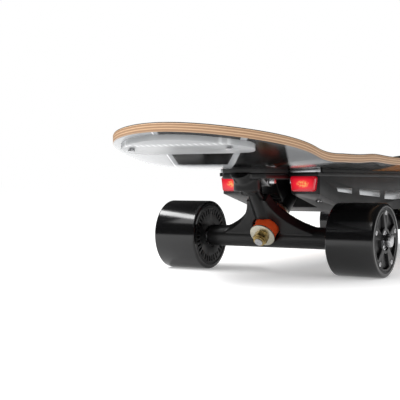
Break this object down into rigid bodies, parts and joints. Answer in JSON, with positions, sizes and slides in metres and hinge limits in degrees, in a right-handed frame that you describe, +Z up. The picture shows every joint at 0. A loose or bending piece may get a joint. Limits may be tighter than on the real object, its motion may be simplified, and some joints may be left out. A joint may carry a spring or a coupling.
{
  "type": "electric skateboard",
  "caption": "Kicked wooden skateboard deck over a slim battery box, with sprung steering trucks, wide wheels, hub motors at the tail and built-in lamps.",
  "frame": {"origin": "on the ground, under the middle of the board", "axes": "+X towards the nose, +Y to the rider's left, +Z up"},
  "size_m": [0.976, 0.2924, 0.1629],
  "materials": {
    "maple": "satin lacquer over maple plies",
    "grip": "gritty mineral surface",
    "charcoal_shell": "fine moulded texture",
    "black_plastic": "satin",
    "seal_rubber": "matt",
    "silver_trim": "satin",
    "red_lens": "gloss",
    "clear_lens": "frosted clear plastic",
    "circuit": "solder mask",
    "cell_wrap": "shrink film",
    "spacer_sheet": "fibre sheet",
    "steel": "machined",
    "black_steel": "black oxide",
    "nut_zinc": "yellow zinc plating",
    "washer_zinc": "clear zinc plating",
    "cast_black": "satin powder coat on cast aluminium",
    "bushing_orange": "poured urethane",
    "cup_black": "urethane",
    "tyre_black": "glossy cast urethane",
    "motor_black": "black anodised",
    "magnet": "nickel plated",
    "motor_steel": "laminated steel",
    "copper": "enamelled copper wire",
    "core_black": "moulded nylon"
  },
  "bodies": {
    "board": {"deck": "maple", "grip_tape": "grip", "enclosure_shell": "charcoal_shell", "enclosure_flange": "black_plastic", "enclosure_gasket": "seal_rubber", "light_pod_caps": "silver_trim", "side_windows": "silver_trim", "tail_light_lenses": "red_lens", "headlight_lenses": "clear_lens", "lamp_boards": "circuit", "light_bar_lenses": "clear_lens", "housing_screws": "steel", "battery_cells": "cell_wrap", "battery_spacers": "spacer_sheet", "bms_board": "circuit", "esc_board": "circuit", "charge_socket": "black_plastic", "power_button_bezel": "silver_trim", "motor_cable_glands": "black_plastic", "risers": "seal_rubber", "truck_bolts": "black_steel", "truck_nuts": "steel", "rear_baseplate": "cast_black", "front_baseplate": "cast_black", "rear_bushings": "bushing_orange", "front_bushings": "bushing_orange", "pivot_cups": "cup_black", "kingpins": "steel", "kingpin_washers": "washer_zinc", "kingpin_nuts": "nut_zinc"},
    "rear_truck": {"rear_hanger": "cast_black", "rear_axles": "steel", "rear_axle_nuts": "steel", "motor_stators": "motor_steel", "motor_windings": "copper"},
    "front_truck": {"front_hanger": "cast_black", "front_axles": "steel", "front_axle_nuts": "steel"},
    "power_button": {"power_button": "black_plastic"},
    "charge_cover": {"charge_port_cover": "seal_rubber"},
    "rear_left_wheel": {"rear_left_tyre": "tyre_black", "rear_left_rotor_can": "motor_black", "rear_left_magnets": "magnet", "rear_left_inner_cover": "motor_black", "rear_left_outer_cover": "motor_black", "rear_left_cover_screws": "steel", "rear_left_bearings": "steel"},
    "front_left_wheel": {"front_left_tyre": "tyre_black", "front_left_core": "core_black", "front_left_bearings": "steel"},
    "rear_right_wheel": {"rear_right_tyre": "tyre_black", "rear_right_rotor_can": "motor_black", "rear_right_magnets": "magnet", "rear_right_inner_cover": "motor_black", "rear_right_outer_cover": "motor_black", "rear_right_cover_screws": "steel", "rear_right_bearings": "steel"},
    "front_right_wheel": {"front_right_tyre": "tyre_black", "front_right_core": "core_black", "front_right_bearings": "steel"}
  },
  "joints": [
    {"name": "rear_truck_steer", "type": "hinge", "parent": "board", "child": "rear_truck", "pos_m": [-0.25313, 0, 0.05834], "axis": [-0.7434, 0, 0.6689], "range_deg": [-15, 15], "stiffness_Nm_per_rad": 60, "deforming": ["rear_bushings"]},
    {"name": "rear_left_wheel_spin", "type": "hinge", "parent": "rear_truck", "child": "rear_left_wheel", "pos_m": [-0.245, 0.11175, 0.0415], "axis": [0, 1, 0], "continuous": true},
    {"name": "rear_right_wheel_spin", "type": "hinge", "parent": "rear_truck", "child": "rear_right_wheel", "pos_m": [-0.245, -0.11175, 0.0415], "axis": [0, 1, 0], "continuous": true},
    {"name": "front_truck_steer", "type": "hinge", "parent": "board", "child": "front_truck", "pos_m": [0.25313, 0, 0.05834], "axis": [0.7434, 0, 0.6689], "range_deg": [-15, 15], "stiffness_Nm_per_rad": 60, "deforming": ["front_bushings"]},
    {"name": "front_left_wheel_spin", "type": "hinge", "parent": "front_truck", "child": "front_left_wheel", "pos_m": [0.245, 0.11175, 0.0415], "axis": [0, 1, 0], "continuous": true},
    {"name": "front_right_wheel_spin", "type": "hinge", "parent": "front_truck", "child": "front_right_wheel", "pos_m": [0.245, -0.11175, 0.0415], "axis": [0, 1, 0], "continuous": true},
    {"name": "power_button_press", "type": "slide", "parent": "board", "child": "power_button", "axis": [0, -1, 0], "range_m": [0, 0.0015], "stiffness_N_per_m": 900},
    {"name": "charge_cover_flap", "type": "hinge", "parent": "board", "child": "charge_cover", "pos_m": [0.1435, 0.0649, 0.101], "axis": [1, 0, 0], "range_deg": [0, 110]}
  ]
}
